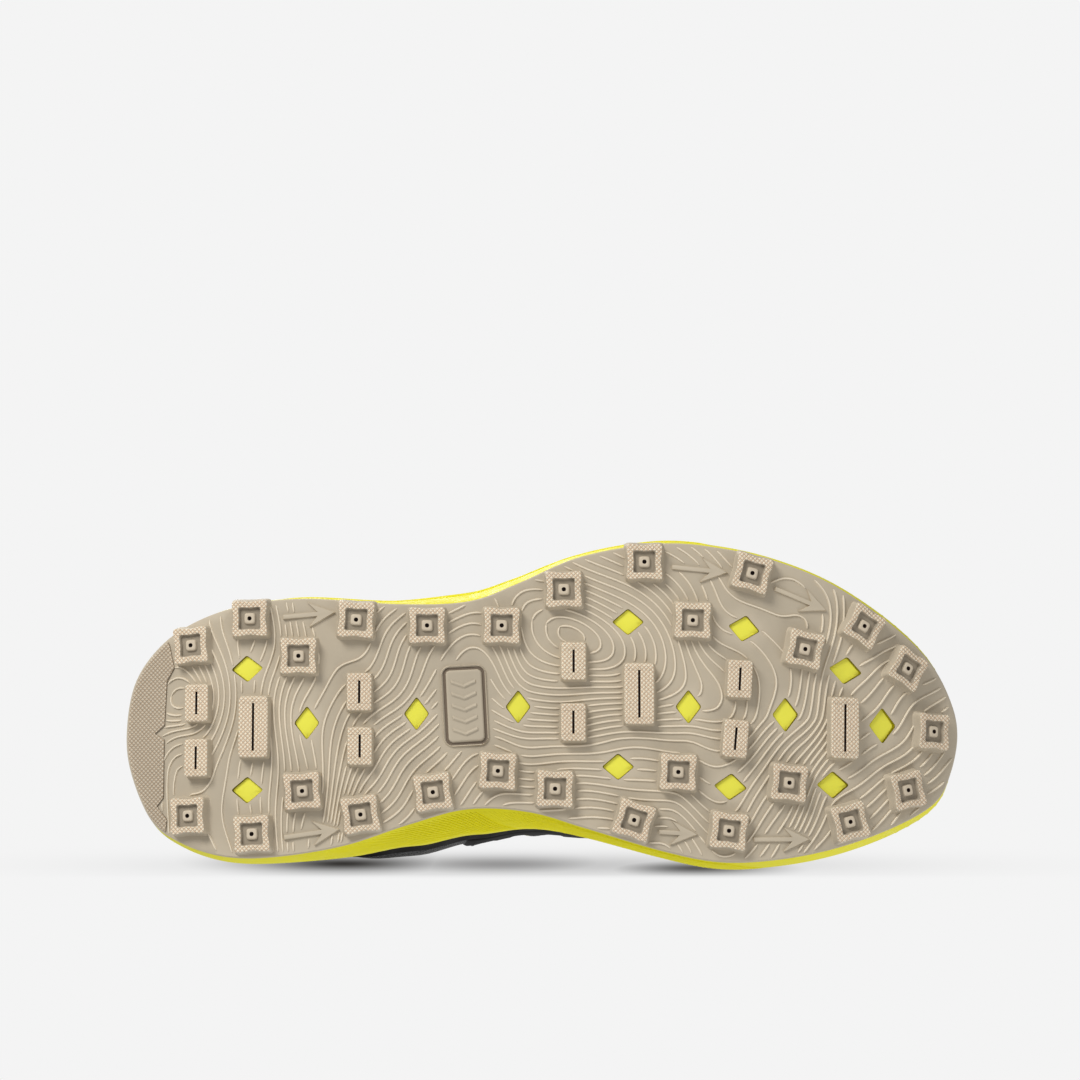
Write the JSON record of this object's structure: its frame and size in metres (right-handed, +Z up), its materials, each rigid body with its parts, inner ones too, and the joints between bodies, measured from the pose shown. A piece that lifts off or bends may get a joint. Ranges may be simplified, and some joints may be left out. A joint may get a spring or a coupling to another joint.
{
  "type": "trail running shoe",
  "caption": "Right-foot low-cut trail running shoe: lugged rubber outsole with windows to the foam midsole, textile upper with welded films, padded collar and tongue, laced in a bow.",
  "frame": {"origin": "foot of the bounding box's vertical centre line: z 0 is the floor the lugs stand on", "axes": "+X towards the toe, +Y towards the medial side (the wearer's left), +Z up"},
  "size_m": [0.3024, 0.1194, 0.1241],
  "materials": {
    "outsole_rubber": "matt tan-grey moulded rubber, knurled on the lug rims",
    "midsole_foam": "bright yellow moulded foam with a satin skin",
    "board": "pale non-woven board",
    "insole_foam": "dark open foam",
    "insole_cloth": "dark knitted cloth",
    "upper_mesh": "near-black engineered mesh",
    "film": "black welded film, slightly satin",
    "stiffener": "grey thermoplastic sheet",
    "lining": "dark spacer cloth",
    "collar_foam": "open-cell foam",
    "tongue_cloth": "black padded cloth",
    "patch": "soft moulded patch with a ridge motif",
    "lace": "black woven lace with yellow flecks",
    "aglet": "heat-shrunk plastic tip",
    "webbing": "yellow woven webbing",
    "eyelet": "moulded ring"
  },
  "bodies": {
    "shoe": {"outsole": "outsole_rubber", "midsole": "midsole_foam", "strobel_board": "board", "insole_foam": "insole_foam", "insole_cloth": "insole_cloth", "vamp_mesh": "upper_mesh", "quarter_lateral": "upper_mesh", "quarter_medial": "upper_mesh", "toe_bumper": "film", "rand_lateral": "film", "rand_medial": "film", "side_band_lateral": "film", "side_band_medial": "film", "heel_overlay": "film", "eyestay_lateral": "film", "eyestay_medial": "film", "toe_puff": "stiffener", "heel_counter": "stiffener", "vamp_lining": "lining", "collar_foam": "collar_foam", "collar_lining": "lining", "tongue_lower": "tongue_cloth", "lace": "lace", "aglet_lateral": "aglet", "aglet_medial": "aglet", "eyelet_lateral_1": "eyelet", "eyelet_lateral_2": "eyelet", "eyelet_lateral_3": "eyelet", "eyelet_lateral_4": "eyelet", "eyelet_lateral_5": "eyelet", "eyelet_lateral_6": "eyelet", "eyelet_medial_1": "eyelet", "eyelet_medial_2": "eyelet", "eyelet_medial_3": "eyelet", "eyelet_medial_4": "eyelet", "eyelet_medial_5": "eyelet", "eyelet_medial_6": "eyelet"},
    "tongue_end": {"tongue_upper": "tongue_cloth", "tongue_patch": "patch"},
    "pull_tab": {"heel_pull_tab": "webbing"}
  },
  "joints": [
    {"name": "tongue_fold", "type": "hinge", "parent": "shoe", "child": "tongue_end", "pos_m": [-0.04836, 0.0046, 0.10241], "axis": [0, 1, 0], "range_deg": [-5, 25], "stiffness_Nm_per_rad": 0.12},
    {"name": "pull_tab_bend", "type": "hinge", "parent": "shoe", "child": "pull_tab", "pos_m": [-0.14186, 0.0095, 0.08811], "axis": [0, -1, 0], "range_deg": [0, 50], "stiffness_Nm_per_rad": 0.02}
  ]
}
